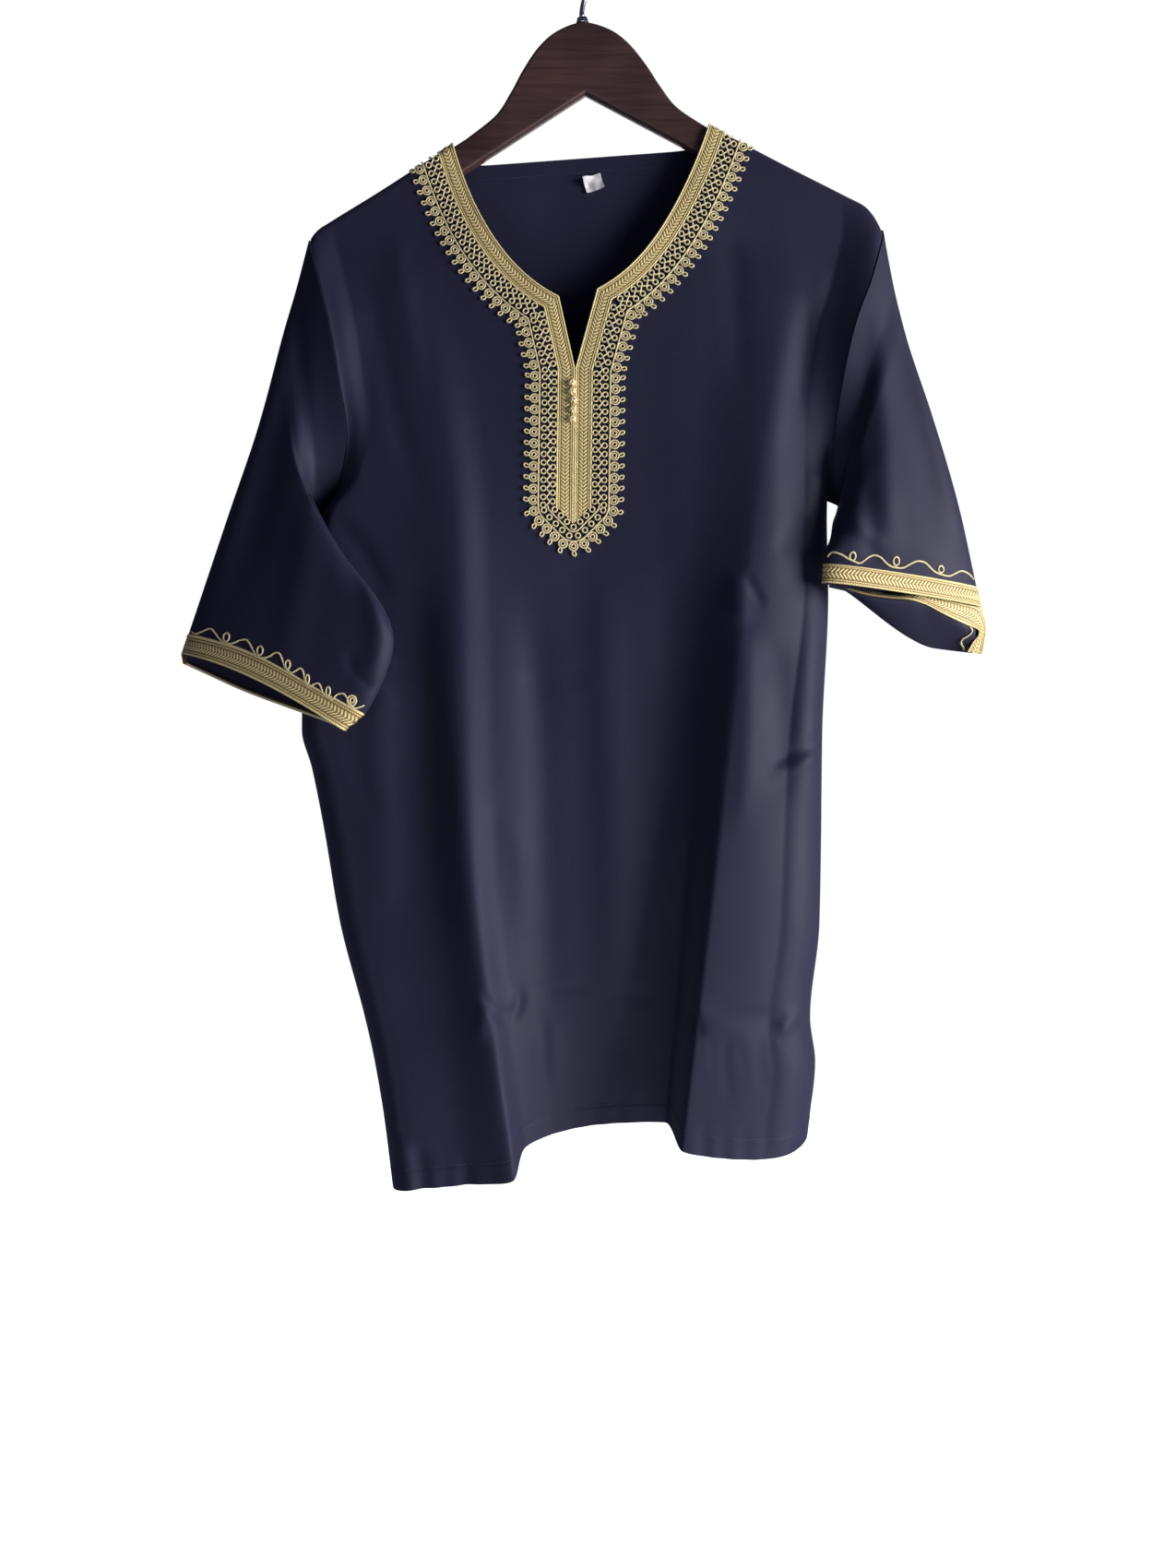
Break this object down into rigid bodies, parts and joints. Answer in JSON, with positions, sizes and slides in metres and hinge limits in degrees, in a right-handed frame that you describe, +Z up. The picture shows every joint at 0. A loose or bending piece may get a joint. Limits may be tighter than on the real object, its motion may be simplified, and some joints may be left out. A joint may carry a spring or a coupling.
{
  "type": "jabador (Moroccan tunic top) on a wooden clothes hanger",
  "caption": "Navy short-sleeved Moroccan jabador top with gold braid and corded lace at neck and cuffs, hanging on a dark wooden hanger.",
  "frame": {"origin": "inside top of the hanger's hook, where it rests on a rail", "axes": "+Z up, +X to the viewer's right, the front of the garment faces -Y"},
  "size_m": [0.6419, 0.1317, 1.009],
  "materials": {
    "navy_cloth": "plain light weave with a soft sheen",
    "gold_braid": "woven metallic-thread braid, satin",
    "gold_cord": "fine twisted cord, satin",
    "label_cloth": "matt woven tape",
    "hanger_wood": "dark mahogany stain, satin lacquer",
    "steel": "plated, softly polished"
  },
  "bodies": {
    "root": {"front_panel": "navy_cloth", "back_panel": "navy_cloth", "sleeve_left": "navy_cloth", "sleeve_right": "navy_cloth", "neck_braid_left": "gold_braid", "neck_braid_right": "gold_braid", "cuff_braid_left": "gold_braid", "cuff_braid_right": "gold_braid", "neck_lace": "gold_cord", "knot_1": "gold_cord", "knot_2": "gold_cord", "knot_3": "gold_cord", "knot_4": "gold_cord", "knot_5": "gold_cord", "neck_label": "label_cloth", "hanger_wood": "hanger_wood", "hanger_collar": "steel", "hanger_hook": "steel"}
  },
  "joints": []
}
